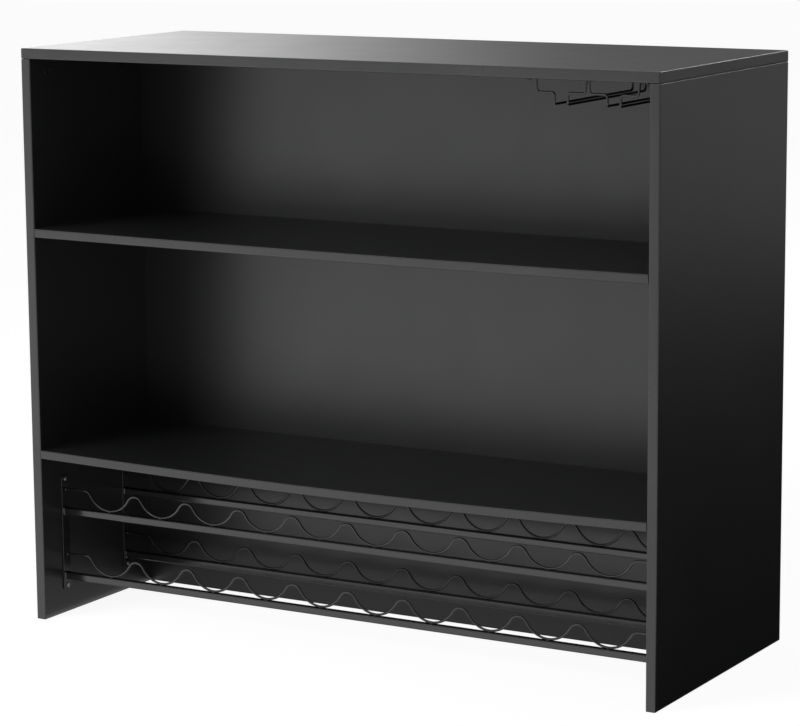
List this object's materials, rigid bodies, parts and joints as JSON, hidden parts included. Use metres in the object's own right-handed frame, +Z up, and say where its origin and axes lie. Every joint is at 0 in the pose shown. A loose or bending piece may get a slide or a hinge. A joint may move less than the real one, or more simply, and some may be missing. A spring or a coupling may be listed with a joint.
{
  "type": "bar cabinet",
  "caption": "Black bar counter cabinet, open towards the bartender, with shelves, a wave-wire wine rack in the bottom bay and a stemware rack under the top.",
  "frame": {"origin": "on the floor, under the middle of the cabinet's outline", "axes": "+X to the right as seen from the open side, +Y from the open side to the guest side, +Z up"},
  "size_m": [1.2, 0.49, 1],
  "materials": {
    "black_board": "satin black melamine on particle board",
    "black_wire": "gloss black powder coat on steel",
    "bright_screw": "bright zinc plate",
    "zinc_fitting": "dull zinc",
    "beech_dowel": "raw beech"
  },
  "bodies": {
    "root": {"top_panel": "black_board", "left_side_panel": "black_board", "right_side_panel": "black_board", "inner_back_panel": "black_board", "guest_panel": "black_board", "upper_shelf": "black_board", "lower_shelf": "black_board", "front_left_rack_strip": "black_wire", "front_right_rack_strip": "black_wire", "rear_left_rack_strip": "black_wire", "rear_right_rack_strip": "black_wire", "lower_front_rail": "black_wire", "lower_rear_rail": "black_wire", "upper_front_rail": "black_wire", "upper_rear_rail": "black_wire", "lower_front_bottle_wire": "black_wire", "lower_rear_bottle_wire": "black_wire", "upper_front_bottle_wire": "black_wire", "upper_rear_bottle_wire": "black_wire", "left_stemware_hanger": "black_wire", "middle_stemware_hanger": "black_wire", "right_stemware_hanger": "black_wire", "front_left_lower_strip_screw": "bright_screw", "front_left_upper_strip_screw": "bright_screw", "front_right_lower_strip_screw": "bright_screw", "front_right_upper_strip_screw": "bright_screw", "rear_left_lower_strip_screw": "bright_screw", "rear_left_upper_strip_screw": "bright_screw", "rear_right_lower_strip_screw": "bright_screw", "rear_right_upper_strip_screw": "bright_screw", "left_front_hanger_screw": "black_wire", "left_rear_hanger_screw": "black_wire", "middle_front_hanger_screw": "black_wire", "middle_rear_hanger_screw": "black_wire", "right_front_hanger_screw": "black_wire", "right_rear_hanger_screw": "black_wire", "top_bolt_front_left": "zinc_fitting", "top_bolt_front_right": "zinc_fitting", "top_bolt_rear_left": "zinc_fitting", "top_bolt_rear_right": "zinc_fitting", "top_cam_front_left": "zinc_fitting", "top_cam_front_right": "zinc_fitting", "top_cam_rear_left": "zinc_fitting", "top_cam_rear_right": "zinc_fitting", "shelf_bolt_front_left": "zinc_fitting", "shelf_bolt_front_right": "zinc_fitting", "shelf_bolt_rear_left": "zinc_fitting", "shelf_bolt_rear_right": "zinc_fitting", "shelf_cam_front_left": "zinc_fitting", "shelf_cam_front_right": "zinc_fitting", "shelf_cam_rear_left": "zinc_fitting", "shelf_cam_rear_right": "zinc_fitting", "shelf_dowel_front_left": "beech_dowel", "shelf_dowel_front_right": "beech_dowel", "shelf_dowel_rear_left": "beech_dowel", "shelf_dowel_rear_right": "beech_dowel", "guest_dowel_lower_left": "beech_dowel", "guest_dowel_lower_right": "beech_dowel", "guest_dowel_upper_left": "beech_dowel", "guest_dowel_upper_right": "beech_dowel"}
  },
  "joints": []
}
